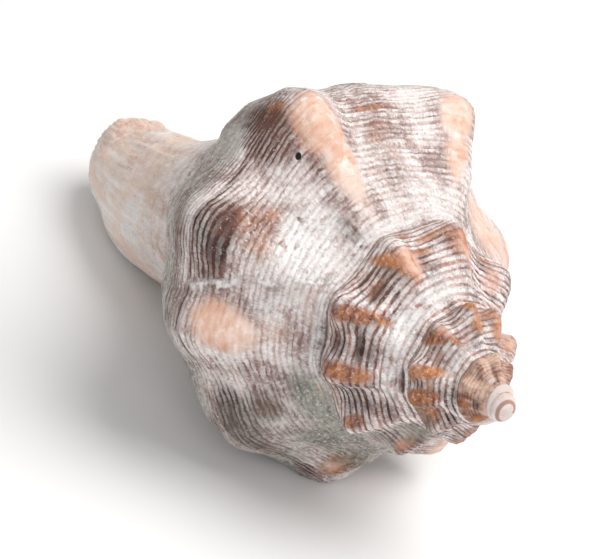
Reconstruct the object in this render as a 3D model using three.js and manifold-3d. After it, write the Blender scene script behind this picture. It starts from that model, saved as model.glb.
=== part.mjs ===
// A knobbed whelk shell, lying on its aperture as it comes to rest on a table.
// Millimetres. +Z is up, the origin is under the middle of the shell, and +X runs to the tip of the spire.
import * as THREE from 'three';
import { mergeVertices } from 'three/addons/utils/BufferGeometryUtils.js';
import Module from 'manifold-3d';

const RADIANS = Math.PI / 180;

// Growth. Angles are degrees of growth around the shell's axis, and 0 is the last knob before the lip.
const SHOULDER_RADIUS = 30; // from the axis to the tip of the knob at 0
const GROWTH = 1.81; // how much larger the shell grows in each whorl
const LIP_ANGLE = 34; // where growth stopped
const WHORLS = 5;
const STEPS_PER_WHORL = 60;

// The side of a whorl in its valleys, from the suture above it to the end of the canal.
// Each pair is a distance from the axis and a height below the tip of the spire, in shoulder radii.
const VALLEY = [
  [0.545, -0.9], // suture above
  [0.65, -1.09],
  [0.78, -1.27],
  [0.9, -1.415], // shoulder
  [0.935, -1.57], // where the next whorl joins
  [0.855, -1.765],
  [0.72, -1.975],
  [0.52, -2.145],
  [0.35, -2.305],
  [0.27, -2.48], // neck
  [0.235, -2.655],
  [0.215, -2.815],
  [0.17, -2.945], // end of the canal
];
const SUTURE = 4; // the place in VALLEY where the next whorl joins
const SUTURE_FADE = 1.5; // the place up to which a row is drawn toward the whorl that it starts on
const NECK = [6.5, 9.5]; // between these places the whorl's size gives way to the canal's fixed size
const END = VALLEY.length - 1;

// How far a rib stands out of the valley at the same places.
const RIB = [
  [0, 0],
  [0.03, 0.035],
  [0.065, 0.055],
  [0.105, 0.025],
  [0.065, 0],
  [0.05, 0],
  [0.035, -0.01],
  [0.015, -0.01],
  [0, 0],
  [0, 0],
  [0, 0],
  [0, 0],
  [0, 0],
];

// Knobs on the body whorl and the spire: angle, height, and width in degrees on the older and the newer side.
const KNOBS = [
  [3, 1.6, 13, 13],
  [-46, 1.5, 12, 12],
  [-103, 1.45, 16, 9], // the tall rib with a steep side
  [-146, 1.75, 13, 12],
  [-176, 1.3, 11, 11],
  [-217, 0.7, 13, 13],
  [-259, 1, 13, 13],
  [-302, 1.8, 13, 13],
  [-340, 1, 13, 13],
  [-380, 1.3, 12, 12],
  [-425, 0.9, 12, 12],
  [-466, 0.9, 13, 10],
  [-506, 1.6, 12, 12],
  [-538, 1.2, 11, 11],
  [-573, 0.9, 11, 11],
  [-613, 0.8, 12, 12],
  [-653, 1.1, 12, 12],
  [-692, 1, 12, 12],
  [-733, 1.2, 12, 12],
  [-769, 1, 11, 11],
  [-800, 1.1, 11, 11],
  [-838, 1, 12, 12],
  [-878, 1.3, 11, 11],
  [-907, 1.1, 11, 11],
];
const SMALL_KNOBS = { from: -948, spacing: 40, count: 12, height: 1, width: 12 };
const SMOOTH_BEFORE = -1330; // the first whorls have no knobs
const KNOBS_GROW_OVER = 200; // degrees of growth in which the knobs reach their full height

const WALL = 2.6; // thickness of the outer wall
const WALL_FULL = 1.2; // the place from which the wall has its full thickness
const GLAZE = 0.9; // thickness of the layer laid over the last whorl inside the aperture
const GLAZE_FADES = [7, 9]; // between these places the layer thins out on the neck
const CORNER = { wall: 0.45, layer: 0.35 }; // how far the hollow's corner stays from the suture, in places
const CAVITY_TURN = 250; // how far the hollow goes back from the lip
const CANAL_SLOT = 36; // degrees of the neck that the canal's slot takes
const SLOT_OPENS = [7.5, 10]; // between these places the neck's two edges draw apart
const BEND = 0.22; // how far the canal has bent aside, a shoulder radius below the start of the bend
const BEND_FROM = -2.1; // height where the canal starts to bend, in shoulder radii
const BEND_ANGLE = 9; // the side that it bends to
const BEND_POWER = 1.5;

// The low swelling around the neck, where the older ends of the canal lie under each other.
const FASCIOLE = { angle: -245, width: 26, place: 9.4, length: 1.2, height: 0.05 };

const CANAL_DEPTH = 0.1; // distance from the axis to the floor of the slot, in shoulder radii
const SLOT_START = 0.75; // the same where the slot starts, as a share of the neck's radius there
const SLOT_FULL = 10.5; // the place from which the slot has its full depth
const CANAL_END_ROUND = 0.2; // how far the blunt end of the canal swells, in its own radius

// Places along VALLEY where the surface has its points.
const SPIRE_PLACES = [0, 0.5, 1, 1.6, 2.2, 2.7, 3.1, 3.5, SUTURE];
const BODY_PLACES = [4.6, 5.2, 5.9, 6.6, 7.2, 7.8, 8.5, 9.2, 10, 11, END];
const PLACES = [...SPIRE_PLACES, ...BODY_PLACES];
const CAVITY_END = 7.8; // the hollow's bottom, above the slot of the canal
const SLOT_LEAN = 22; // degrees that the floor of the slot lies behind the lip, at the bottom of the hollow

// How the shell lies: the side that is down, and how far the spire points up.
const REST_ANGLE = 94.3;
const REST_DIP = 13.2;
const WEAR = 0.5; // how much its resting spots are worn

const DOME_HEIGHT = 0.85; // height of the dome at the tip of the spire, in its own radius
const DOME_LIFTS = [32, 62]; // degrees up the dome

// The first loops of the hollow: angles at the outer wall and at the columella, share of the full thickness,
// and share of the way from the slot's edges to its floor.
const OPEN_LOOPS = [
  [LIP_ANGLE + 1.6, LIP_ANGLE - 3, 0.5, 0.25],
  [LIP_ANGLE - 1, LIP_ANGLE - 8, 1, 0.6],
  [LIP_ANGLE - 9, LIP_ANGLE - 16, 1, 1],
];
const FIRST_DEEP = 20; // degrees behind the lip of the first loop without a slot
const DEEP_STEP = 11.5; // degrees between such loops

const SHORT_WAY = 0.05; // in places, to find which way the surface faces
const SAME_POINT = 2000; // points closer than one part of this many of a millimetre are one
const TABLE = { width: 400, depth: 40 }; // cuts off what is worn away

function smooth(from, to, x) {
  const t = Math.min(Math.max((x - from) / (to - from), 0), 1);
  return t * t * (3 - 2 * t);
}

function spline(points, place) {
  const index = Math.min(Math.floor(place), points.length - 2);
  const t = place - index;
  const at = (i) => points[Math.min(Math.max(i, 0), points.length - 1)];
  return [0, 1].map((axis) => {
    const [a, b, c, d] = [at(index - 1)[axis], at(index)[axis], at(index + 1)[axis], at(index + 2)[axis]];
    const slope = (c - a) / 2;
    const next = (d - b) / 2;
    const curve = 2 * b - 2 * c + slope + next;
    return curve * t * t * t + (3 * c - 3 * b - 2 * slope - next) * t * t + slope * t + b;
  });
}

function knobList() {
  const small = Array.from({ length: SMALL_KNOBS.count }, (_, i) => [
    SMALL_KNOBS.from - i * SMALL_KNOBS.spacing,
    SMALL_KNOBS.height,
    SMALL_KNOBS.width,
    SMALL_KNOBS.width,
  ]);
  return [...KNOBS, ...small];
}

const ALL_KNOBS = knobList();

function ribHeight(angle) {
  let height = 0;
  for (const [centre, knob, older, newer] of ALL_KNOBS) {
    const width = angle < centre ? older : newer;
    height += knob * Math.exp(-(((angle - centre) / width) ** 2));
  }
  return height * smooth(SMOOTH_BEFORE, SMOOTH_BEFORE + KNOBS_GROW_OVER, angle);
}

function fasciole(angle, place) {
  const around = (angle - FASCIOLE.angle) / FASCIOLE.width;
  const along = (place - FASCIOLE.place) / FASCIOLE.length;
  return FASCIOLE.height * Math.exp(-(around ** 2) - along ** 2);
}

function size(angle, place) {
  const whorl = GROWTH ** (angle / 360);
  const fixed = smooth(NECK[0], NECK[1], place);
  return whorl ** (1 - fixed);
}

// The outer surface in the plane through the axis: distance from the axis and height.
function side(angle, place) {
  const [valleyOut, valleyUp] = spline(VALLEY, place);
  const [ribOut, ribUp] = spline(RIB, place);
  const height = ribHeight(angle);
  const scale = size(angle, place) * SHOULDER_RADIUS;
  const out = valleyOut + height * ribOut + fasciole(angle, place);
  return [out * scale, (valleyUp + height * ribUp) * scale];
}

// The way out of the surface, in the same plane.
function outward(angle, place) {
  const before = side(angle, Math.max(place - SHORT_WAY, 0));
  const after = side(angle, Math.min(place + SHORT_WAY, END));
  const [across, up] = [after[0] - before[0], after[1] - before[1]];
  const length = Math.hypot(across, up);
  return [-up / length, across / length];
}

// The neck's two edges stand apart, which leaves the slot of the canal.
function turned(angle, place) {
  const closing = smooth(...SLOT_OPENS, place);
  const start = LIP_ANGLE - 360;
  const along = (angle - start) / 360;
  return angle + closing * CANAL_SLOT * (0.5 - along);
}

// Below the body whorl the canal bends to one side.
function bend(up) {
  const below = Math.max(BEND_FROM - up / SHOULDER_RADIUS, 0);
  return BEND * SHOULDER_RADIUS * below ** BEND_POWER;
}

function point([out, up], angle) {
  const around = -angle * RADIANS;
  const aside = -BEND_ANGLE * RADIANS;
  const shift = bend(up);
  return new THREE.Vector3(
    out * Math.cos(around) + shift * Math.cos(aside),
    out * Math.sin(around) + shift * Math.sin(aside),
    up,
  );
}

class Skin {
  constructor() {
    this.points = [];
    this.faces = new Map();
    this.known = new Map();
  }

  vertex(p) {
    const key = [p.x, p.y, p.z].map((v) => Math.round(v * SAME_POINT)).join();
    if (!this.known.has(key)) {
      this.known.set(key, this.points.length);
      this.points.push(p);
    }
    return this.known.get(key);
  }

  // A face that meets its own back cancels out with it.
  face(a, b, c) {
    if (a === b || b === c || c === a) return;
    const first = Math.min(a, b, c);
    const [p, q, r] = first === a ? [a, b, c] : first === b ? [b, c, a] : [c, a, b];
    const back = [p, r, q].join();
    if (this.faces.has(back)) {
      this.faces.delete(back);
    } else {
      this.faces.set([p, q, r].join(), [p, q, r]);
    }
  }

  strip(left, right) {
    for (let i = 0; i + 1 < left.length; i += 1) {
      this.face(left[i], right[i], right[i + 1]);
      this.face(left[i], right[i + 1], left[i + 1]);
    }
  }

  fan(centre, edge) {
    for (let i = 0; i + 1 < edge.length; i += 1) {
      this.face(centre, edge[i], edge[i + 1]);
    }
  }

  geometry(move) {
    const geometry = new THREE.BufferGeometry();
    const numbers = this.points.map(move).flatMap((p) => [p.x, p.y, p.z]);
    geometry.setAttribute('position', new THREE.Float32BufferAttribute(numbers, 3));
    geometry.setIndex([...this.faces.values()].flat());
    return geometry;
  }
}

const ROWS = WHORLS * STEPS_PER_WHORL;
const LAST_WHORL = ROWS - STEPS_PER_WHORL;

function rowAngle(row) {
  return LIP_ANGLE + ((row - ROWS) * 360) / STEPS_PER_WHORL;
}

// The smooth first whorl rises out of the rim of a small dome.
function domeRim(angle) {
  const [out, up] = side(rowAngle(0), SUTURE);
  return point([out, up], angle);
}

// Each whorl starts on the one before it, so a row's first point is the last whorl's point at the suture.
function outerRow(row, rows) {
  const angle = rowAngle(row);
  const first = row < STEPS_PER_WHORL;
  const start = first ? domeRim(angle) : rows[row - STEPS_PER_WHORL][SPIRE_PLACES.length - 1];
  const shift = start.clone().sub(point(side(angle, 0), angle));
  const opened = Math.min(row / STEPS_PER_WHORL, 1);
  return (row < LAST_WHORL ? SPIRE_PLACES : PLACES).map((place) => {
    const fade = Math.max(1 - place / SUTURE_FADE, 0) ** 2;
    const p = point(side(angle, place), turned(angle, place)).addScaledVector(shift, fade);
    return first ? start.clone().lerp(p, opened) : p;
  });
}

function outerRows() {
  const rows = [];
  for (let row = 0; row <= ROWS; row += 1) {
    rows.push(outerRow(row, rows));
  }
  return rows;
}

function domeRing(lift) {
  const [out, up] = side(rowAngle(0), SUTURE);
  const ring = [];
  for (let row = 0; row < STEPS_PER_WHORL; row += 1) {
    ring.push(point([out * Math.cos(lift), up + out * DOME_HEIGHT * Math.sin(lift)], rowAngle(row)));
  }
  return [...ring, ring[0]];
}

// The hollow behind the lip is made of loops around its wall: down the inside of the outer wall, along the
// slot of the canal to its end, and back up the columella. A loop starts and ends in the corner at the suture.
function innerWall(angle, place, depth) {
  const [out, up] = side(angle, place);
  const [across, rise] = outward(angle, place);
  const inset = WALL * depth * smooth(0, WALL_FULL, place);
  return point([out - across * inset, up - rise * inset], turned(angle, place));
}

function columella(angle, place, depth) {
  const [out, up] = side(angle - 360, place);
  const [across, rise] = outward(angle - 360, place);
  const layer = GLAZE * depth * (1 - smooth(...GLAZE_FADES, place));
  return point([out + across * layer, up + rise * layer], turned(angle - 360, place));
}

// The floor of the slot runs from the bottom of the hollow to the end of the canal.
function slotFloor(place) {
  const along = smooth(CAVITY_END, SLOT_FULL, place);
  const [out, up] = side(LIP_ANGLE, place);
  const depth = THREE.MathUtils.lerp(out * SLOT_START, CANAL_DEPTH * SHOULDER_RADIUS, along);
  return point([depth, up], LIP_ANGLE - SLOT_LEAN * (1 - along));
}

function corner(wallAngle, columellaAngle, depth) {
  const wall = innerWall(wallAngle, CORNER.wall * depth, depth);
  return wall.lerp(columella(columellaAngle, SUTURE + CORNER.layer * depth, depth), 0.5);
}

function loop(start, wallAt, columellaAt) {
  const down = PLACES.slice(1).map(wallAt);
  const up = [...BODY_PLACES].reverse().map(columellaAt);
  return [start, ...down, ...up, start];
}

// closing is 0 at the edges of the slot and 1 on its floor
function openLoop([wallAngle, columellaAngle, depth, closing]) {
  const settle = (p, place) => (place > CAVITY_END ? p.lerp(slotFloor(place), closing) : p);
  return loop(
    corner(wallAngle, columellaAngle, depth),
    (place) => settle(innerWall(wallAngle, place, depth), place),
    (place) => settle(columella(columellaAngle, place, depth), place),
  );
}

// Deeper in there is no slot, and the bottom of the loop closes in one place.
function deepLoop(angle) {
  const bottom = innerWall(angle, CAVITY_END, 1).lerp(columella(angle, CAVITY_END, 1), 0.5);
  return loop(
    corner(angle, angle, 1),
    (place) => (place > CAVITY_END ? bottom : innerWall(angle, place, 1)),
    (place) => (place > CAVITY_END ? bottom : columella(angle, place, 1)),
  );
}

function middle(points) {
  const sum = points.reduce((total, p) => total.add(p), new THREE.Vector3());
  return sum.divideScalar(points.length);
}

function addSpire(skin, rows) {
  const ids = rows.map((row) => row.map((p) => skin.vertex(p)));
  for (let row = 0; row < ROWS; row += 1) {
    skin.strip(ids[row], ids[row + 1].slice(0, ids[row].length));
  }
  const rim = [...ids.slice(0, STEPS_PER_WHORL), ids[0]].map((row) => row[0]);
  const rings = [rim, ...DOME_LIFTS.map((lift) => domeRing(lift * RADIANS).map((p) => skin.vertex(p)))];
  for (let i = 0; i + 1 < rings.length; i += 1) {
    skin.strip(rings[i], rings[i + 1]);
  }
  const [out, up] = side(rowAngle(0), SUTURE);
  const top = skin.vertex(point([0, up + out * DOME_HEIGHT], 0));
  skin.fan(top, rings[rings.length - 1].reverse());
  return ids;
}

function addHollow(skin, ids) {
  const lip = ids[ROWS];
  const inside = ids[LAST_WHORL].slice(SPIRE_PLACES.length - 1).reverse();
  const loops = [[...lip, ...inside]];
  for (const opening of OPEN_LOOPS) {
    loops.push(openLoop(opening).map((p) => skin.vertex(p)));
  }
  const turns = Math.round((CAVITY_TURN - FIRST_DEEP) / DEEP_STEP);
  for (let i = 0; i <= turns; i += 1) {
    loops.push(deepLoop(LIP_ANGLE - FIRST_DEEP - i * DEEP_STEP).map((p) => skin.vertex(p)));
  }
  // The slot is open at the end of the canal, so the two sides of a loop are joined apart.
  const end = PLACES.length;
  for (let i = 0; i + 1 < loops.length; i += 1) {
    skin.strip(loops[i].slice(0, end), loops[i + 1].slice(0, end));
    skin.strip(loops[i].slice(end), loops[i + 1].slice(end));
  }
  const last = loops[loops.length - 1];
  skin.fan(skin.vertex(middle(last.map((id) => skin.points[id]))), [...last].reverse());
  return loops;
}

// The end of the canal is a blunt face around the slot.
function addCanalEnd(skin, ids, loops) {
  const around = ids.slice(LAST_WHORL).map((row) => row[row.length - 1]);
  const open = loops.slice(1, OPEN_LOOPS.length + 1);
  const outTo = open.map((loop) => loop[PLACES.length - 1]);
  const back = open.map((loop) => loop[PLACES.length]).reverse();
  const [out, up] = side(LIP_ANGLE, END);
  const away = out - CANAL_DEPTH * SHOULDER_RADIUS;
  const centre = skin.vertex(point([away, up - out * CANAL_END_ROUND], LIP_ANGLE + 180));
  skin.fan(centre, [...around, ...outTo, ...back, around[0]]);
}

function shellSurface() {
  const skin = new Skin();
  const ids = addSpire(skin, outerRows());
  const loops = addHollow(skin, ids);
  addCanalEnd(skin, ids, loops);
  return skin;
}

// The shell lies on its knob, its lip and the end of its canal, with the spire toward +X.
function laidDown(p) {
  const around = -REST_ANGLE * RADIANS;
  const dip = REST_DIP * RADIANS;
  const up = new THREE.Vector3(-Math.cos(around), -Math.sin(around), Math.tan(dip)).normalize();
  const spire = new THREE.Vector3(0, 0, 1).addScaledVector(up, -up.z).normalize();
  const across = new THREE.Vector3().crossVectors(up, spire);
  return new THREE.Vector3(p.dot(spire), p.dot(across), p.dot(up));
}

function solid(wasm, geometry) {
  const mesh = new wasm.Mesh({
    numProp: 3,
    vertProperties: new Float32Array(geometry.getAttribute('position').array),
    triVerts: new Uint32Array(geometry.index.array),
  });
  return new wasm.Manifold(mesh);
}

function geometryOf(manifold) {
  const mesh = manifold.getMesh();
  const geometry = new THREE.BufferGeometry();
  geometry.setAttribute('position', new THREE.BufferAttribute(mesh.vertProperties, 3));
  geometry.setIndex(new THREE.BufferAttribute(mesh.triVerts, 1));
  return geometry;
}

// What lies below the table's level is worn away, which leaves the small flat spots that the shell rests on.
function wornAway(wasm, geometry) {
  const box = new THREE.BoxGeometry(TABLE.width, TABLE.width, TABLE.depth).translate(0, 0, -TABLE.depth / 2);
  box.deleteAttribute('normal');
  box.deleteAttribute('uv');
  return geometryOf(solid(wasm, geometry).subtract(solid(wasm, mergeVertices(box))));
}

function makeShell(wasm) {
  const geometry = shellSurface().geometry(laidDown);
  geometry.computeBoundingBox();
  const { min, max } = geometry.boundingBox;
  geometry.translate(-(min.x + max.x) / 2, -(min.y + max.y) / 2, -min.z - WEAR);
  const worn = wornAway(wasm, geometry);
  worn.computeVertexNormals();
  const material = new THREE.MeshStandardMaterial({ color: 0xd9b7a0, roughness: 0.7, metalness: 0 });
  const mesh = new THREE.Mesh(worn, material);
  mesh.name = 'shell';
  return mesh;
}

const wasm = await Module();
wasm.setup();

const whelk = new THREE.Group();
whelk.add(makeShell(wasm));

export default whelk;
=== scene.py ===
import math

import bpy
import numpy as np
from mathutils import Euler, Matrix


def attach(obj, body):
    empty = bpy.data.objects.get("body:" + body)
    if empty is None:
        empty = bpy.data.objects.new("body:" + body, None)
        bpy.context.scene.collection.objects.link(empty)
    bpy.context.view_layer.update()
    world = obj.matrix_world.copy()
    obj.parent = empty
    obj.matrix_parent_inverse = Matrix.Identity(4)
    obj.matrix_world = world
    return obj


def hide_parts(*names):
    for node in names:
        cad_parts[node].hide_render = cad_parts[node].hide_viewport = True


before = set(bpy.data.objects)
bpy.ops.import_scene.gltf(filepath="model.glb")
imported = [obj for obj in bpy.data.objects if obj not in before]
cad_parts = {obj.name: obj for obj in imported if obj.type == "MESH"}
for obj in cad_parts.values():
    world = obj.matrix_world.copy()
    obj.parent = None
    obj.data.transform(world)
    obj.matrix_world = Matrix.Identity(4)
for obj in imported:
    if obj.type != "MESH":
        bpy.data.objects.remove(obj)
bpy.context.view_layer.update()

# Growth, in the same numbers as the part's own source. Angles are degrees of growth. Lengths of the
# profile, the bend and the canal are shoulder radii, and the other lengths are mm.
RADIUS = 30.0
GROWTH = 1.81
LIP = 34.0
WHORLS = 5
STEPS = 144
ROWS = WHORLS * STEPS
LAST = ROWS - STEPS

VALLEY = np.array(
    [
        (0.545, -0.9),
        (0.65, -1.09),
        (0.78, -1.27),
        (0.9, -1.415),
        (0.935, -1.57),
        (0.855, -1.765),
        (0.72, -1.975),
        (0.52, -2.145),
        (0.35, -2.305),
        (0.27, -2.48),
        (0.235, -2.655),
        (0.215, -2.815),
        (0.17, -2.945),
    ]
)
RIB = np.zeros((13, 2))
RIB[1:8] = [
    (0.03, 0.035),
    (0.065, 0.055),
    (0.105, 0.025),
    (0.065, 0),
    (0.05, 0),
    (0.035, -0.01),
    (0.015, -0.01),
]
SUTURE = 4.0
SUTURE_FADE = 1.5
NECK = (6.5, 9.5)
END = 12.0
# each knob or rib: its angle, its height, and its half widths before and after
BIG_KNOBS = [
    (3, 1.6, 13, 13),
    (-46, 1.5, 12, 12),
    (-103, 1.45, 16, 9),
    (-146, 1.75, 13, 12),
    (-176, 1.3, 11, 11),
    (-217, 0.7, 13, 13),
    (-259, 1, 13, 13),
    (-302, 1.8, 13, 13),
    (-340, 1, 13, 13),
    (-380, 1.3, 12, 12),
    (-425, 0.9, 12, 12),
    (-466, 0.9, 13, 10),
    (-506, 1.6, 12, 12),
    (-538, 1.2, 11, 11),
    (-573, 0.9, 11, 11),
    (-613, 0.8, 12, 12),
    (-653, 1.1, 12, 12),
    (-692, 1, 12, 12),
    (-733, 1.2, 12, 12),
    (-769, 1, 11, 11),
    (-800, 1.1, 11, 11),
    (-838, 1, 12, 12),
    (-878, 1.3, 11, 11),
    (-907, 1.1, 11, 11),
]
KNOBS = np.array(BIG_KNOBS + [(-948 - 40 * i, 1, 12, 12) for i in range(12)], float)
SMOOTH_BEFORE = -1330
FASCIOLE = dict(angle=-245, width=26, place=9.4, length=1.2, height=0.05)

WALL = 2.6
GLAZE = 0.9
CORNER = (0.45, 0.35)
CAVITY_TURN = 250
CAVITY_END = 7.8
CANAL_SLOT = 36
SLOT_OPENS = (7.5, 10)
SLOT_LEAN = 22
SLOT_START = 0.75
SLOT_FULL = 10.5
CANAL_DEPTH = 0.1
CANAL_END_ROUND = 0.2
BEND = (0.22, -2.1, 9)
DOME_HEIGHT = 0.85
REST_ANGLE = 94.3
REST_DIP = 13.2
OFFSET = (44.181, -4.466, 25.440)  # where the shell's own origin lies in the part's frame, mm

COLUMNS = (30, 30, 60, 120, 120)  # between a suture and the next one, for each whorl from the tip on
PER_PLACE = 30  # columns for one place of the profile below the body whorl's suture
DOME_RINGS = (15, 30, 45, 60, 75)  # rings of the cap on the first whorl, in degrees
# Rows of the hollow next to the lip: the angles of the wall and of the columella from the lip's,
# the share of the full depth, and how far the canal is closed.
LIP_ROWS = (
    (0.9, -1.0, 0.2, 0.08),
    (1.6, -2.2, 0.42, 0.2),
    (1.5, -4, 0.65, 0.35),
    (0.2, -6, 0.88, 0.5),
    (-2, -8.5, 1, 0.66),
    (-5, -12, 1, 0.84),
    (-9, -16, 1, 1),
)
HOLLOW_START = 14.0  # the first full row of the hollow, in degrees behind the lip
HOLLOW_STEP = 5.0
MERGE = 2000  # points closer than 1 / MERGE mm are one point

# Where one kind of surface gives way to the next, in degrees of growth.
BODY = (-400.0, -310.0)
SPIRE = (-690.0, -800.0)
TIP_TURN = (-1300.0, -1345.0)

# Heights of the fine forms on the body whorl, in mm.
CORD_DEPTH = 0.1
UNEVEN = (0.16, 0.1)
CRUST_HEIGHT = 0.3
GROWTH_STEP = 0.12
CANAL_WAVES = 0.45
TIP_SWELL = 0.2
CREST = (0.26, 0.5, 0.5)  # of the body whorl's knobs, then what the spire adds, then its upper whorls
CREST_WIDTH = 5.5
CREST_HOLLOW = (0.3, 17, 7)  # the hollow beside a crest: its share, how far off it is, its half width

# Colours as they look, where a noise is low and where it is high.
GROUND = ("8E6A62", "D3B9B2")
SPIRE_GROUND = ("5C2413", "B9735C")
# below the shoulder: on the body whorl this grey is partly the shell's own tone and partly painted shade
BELOW_GROUND = ("7A5142", "7C7067")  # of the spire, of the body whorl
TAN = ("8C4A28", "DDAE8F")
TIP_PINK = ("F4DED5", "FFF9F6")
# the canal's cream: partly its own colour and partly painted light, as it is made paler to look brighter
CREAM = ("F6DCCA", "FFFBF8")
RUSTY = ("6E2E12", "C27A44")
RUST_EDGE = "562613"
DARK_BROWN = ("40221A", "6E4638")
PEACHY = ("EACDBE", "D8A488")
PALE_PEACH = "F6E9E1"
SPIRE_PEACH = ("BE8062", "E2B8A2")
# grey-green of the crust: partly real crust and partly painted shade on the sides away from the light
CRUST_AND_SHADE_GREY = ("6E6C62", "A3A195")
WHITE = ("E4DDDB", "FBF9F8")
# the cords below the shoulder: on the body whorl their grey is partly the shell's own tone and partly painted
# shade
BELOW_WHITE = ("D8CBC5", "BAB6AE")  # of the spire, of the body whorl
# the cords greyed under the crust and its painted shade
CRUST_AND_SHADE_WHITE = "BCBDB0"
DARK_GRAIN = "5F3F33"
PALE_GRAIN = "FFFDFC"
# painted shade in the seams between the whorls
SEAM_SHADE = "5B5348"
TIP_LINE = "A4694F"
HOLE_SHADE = "120C0A"
LINING = ("F3D3BC", "E9B08C")

# The bored hole: its angle and place, and about how many mm a degree and a place are there.
HOLE = (-113.6, 2.34)
HOLE_SCALE = (0.49, 7.4)
HOLE_EDGE = (0.52, 0.36)
# The healed scar: its angle is (a * place + b) * place + c.
SCAR = (1.81, -14.54, -134.2)
# The curl of the first whorl on the tip: its place is (angle + a) * b + c.
CURL = (1766.0, 0.0016, 0.2)

# The stage. Lengths in metres, power in watts.
FLOOR_HALF = 3
FLOOR_PAPER = (0.93, 0.93, 0.93, 1)
CAMERA_AT = (0.23632, -0.21693, 0.19322)
CAMERA_TURN = (1.03724, -0.27823, 0.9886)
SENSOR = 36
LENS = 178.06
LIT_SPOT = (0, 0, 0.02)
LIGHTS = (
    ("key", (0.15, 0.22, 0.6), 0.6, 4.1, (1, 0.985, 0.965)),
    ("fill", (0.5, -0.35, 0.35), 0.5, 0.9, (0.95, 0.98, 1)),
)
DAYLIGHT = 0.43


def smooth(start, stop, x):
    t = np.clip((x - start) / (stop - start), 0, 1)
    return t * t * (3 - 2 * t)


def bump(x, centre, width):
    return np.exp(-(((x - centre) / width) ** 2))


def spline(points, place):
    last = len(points) - 1
    i = np.minimum(np.floor(place).astype(int), last - 1)
    t = (place - i)[..., None]
    a, b, c, d = (points[np.clip(i + k, 0, last)] for k in (-1, 0, 1, 2))
    slope, after = (c - a) / 2, (d - b) / 2
    return (2 * b - 2 * c + slope + after) * t**3 + (3 * c - 3 * b - 2 * slope - after) * t**2 + slope * t + b


def rib_height(angle):
    off = angle[..., None] - KNOBS[:, 0]
    width = np.where(off < 0, KNOBS[:, 2], KNOBS[:, 3])
    height = (KNOBS[:, 1] * np.exp(-((off / width) ** 2))).sum(-1)
    return height * smooth(SMOOTH_BEFORE, SMOOTH_BEFORE + 200, angle)


def side(angle, place):
    """Distance from the axis and height of the outer surface, in mm."""
    angle, place = np.broadcast_arrays(np.asarray(angle, float), np.asarray(place, float))
    scale = GROWTH ** (angle / 360 * (1 - smooth(*NECK, place))) * RADIUS
    swell = bump(angle, FASCIOLE["angle"], FASCIOLE["width"])
    swell = swell * bump(place, FASCIOLE["place"], FASCIOLE["length"])
    s = spline(VALLEY, place) + rib_height(angle)[..., None] * spline(RIB, place)
    s[..., 0] += FASCIOLE["height"] * swell
    return s * scale[..., None]


def outward(angle, place):
    way = side(angle, np.minimum(place + 0.05, END)) - side(angle, np.maximum(place - 0.05, 0))
    way /= np.linalg.norm(way, axis=-1)[..., None]
    return np.stack([-way[..., 1], way[..., 0]], -1)


def turned(angle, place):
    return angle + smooth(*SLOT_OPENS, place) * CANAL_SLOT * (0.5 - (angle - (LIP - 360)) / 360)


def point(s, angle):
    amount, start, aside = BEND
    shift = amount * RADIUS * np.maximum(start - s[..., 1] / RADIUS, 0) ** 1.5
    a, b = -np.radians(angle), -math.radians(aside)
    x = s[..., 0] * np.cos(a) + shift * math.cos(b)
    y = s[..., 0] * np.sin(a) + shift * math.sin(b)
    return np.stack([x, y, s[..., 1]], -1)


def laid_down(p):
    a, dip = -math.radians(REST_ANGLE), math.radians(REST_DIP)
    up = np.array([-math.cos(a) * math.cos(dip), -math.sin(a) * math.cos(dip), math.sin(dip)])
    spire = np.array([0, 0, 1.0]) - up * up[2]
    spire /= np.linalg.norm(spire)
    return p @ np.array([spire, np.cross(up, spire), up]).T + np.array(OFFSET)


class Skin:
    """Points, and faces whose corners know the angle of growth and the place on the profile."""

    def __init__(self):
        self.points = []
        self.row_points = []
        self.count = 0
        self.faces = []

    def add(self, points):
        points = np.asarray(points, float).reshape(-1, 3)
        self.points.append(points)
        self.count += len(points)
        return np.arange(self.count - len(points), self.count)

    def triangles(self, ids, marks):
        """ids (n, 3), marks (n, 3, 3): angle, place, kind."""
        self.faces.append((np.asarray(ids), np.asarray(marks, float)))

    def strip(self, left, right, marks_left, marks_right):
        a, b, c, d = left[:-1], right[:-1], right[1:], left[1:]
        ma, mb, mc, md = marks_left[:-1], marks_right[:-1], marks_right[1:], marks_left[1:]
        self.triangles(np.stack([a, b, c], 1), np.stack([ma, mb, mc], 1))
        self.triangles(np.stack([a, c, d], 1), np.stack([ma, mc, md], 1))

    def zipper(self, left, right, marks_left, marks_right):
        """Joins two rows of points whose numbers of steps are multiples of each other."""
        i, j = 0, 0
        n, m = len(left) - 1, len(right) - 1
        ids, marks = [], []
        while i < n or j < m:
            if j < m and (i >= n or (j + 0.5) * n <= (i + 0.5) * m):
                ids.append((left[i], right[j], right[j + 1]))
                marks.append((marks_left[i], marks_right[j], marks_right[j + 1]))
                j += 1
            else:
                ids.append((left[i], right[j], left[i + 1]))
                marks.append((marks_left[i], marks_right[j], marks_left[i + 1]))
                i += 1
        self.triangles(ids, marks)

    def fan(self, centre, edge, mark_centre, marks_edge):
        ids = [(centre, edge[i], edge[i + 1]) for i in range(len(edge) - 1)]
        marks = [(mark_centre, marks_edge[i], marks_edge[i + 1]) for i in range(len(edge) - 1)]
        self.triangles(ids, marks)


def marks_for(angle, place, kind):
    angle, place = np.broadcast_arrays(np.asarray(angle, float), np.asarray(place, float))
    return np.stack([angle, place, np.full(angle.shape, float(kind))], -1)


OUTSIDE, INSIDE, TIP, TORN = 0, 1, 2, 3


def row_angle(row):
    return LIP + (row - ROWS) * 360 / STEPS


def columns(row):
    """How finely a row is divided between its suture and the next one."""
    return COLUMNS[min(row, ROWS - 1) // STEPS]


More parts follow.
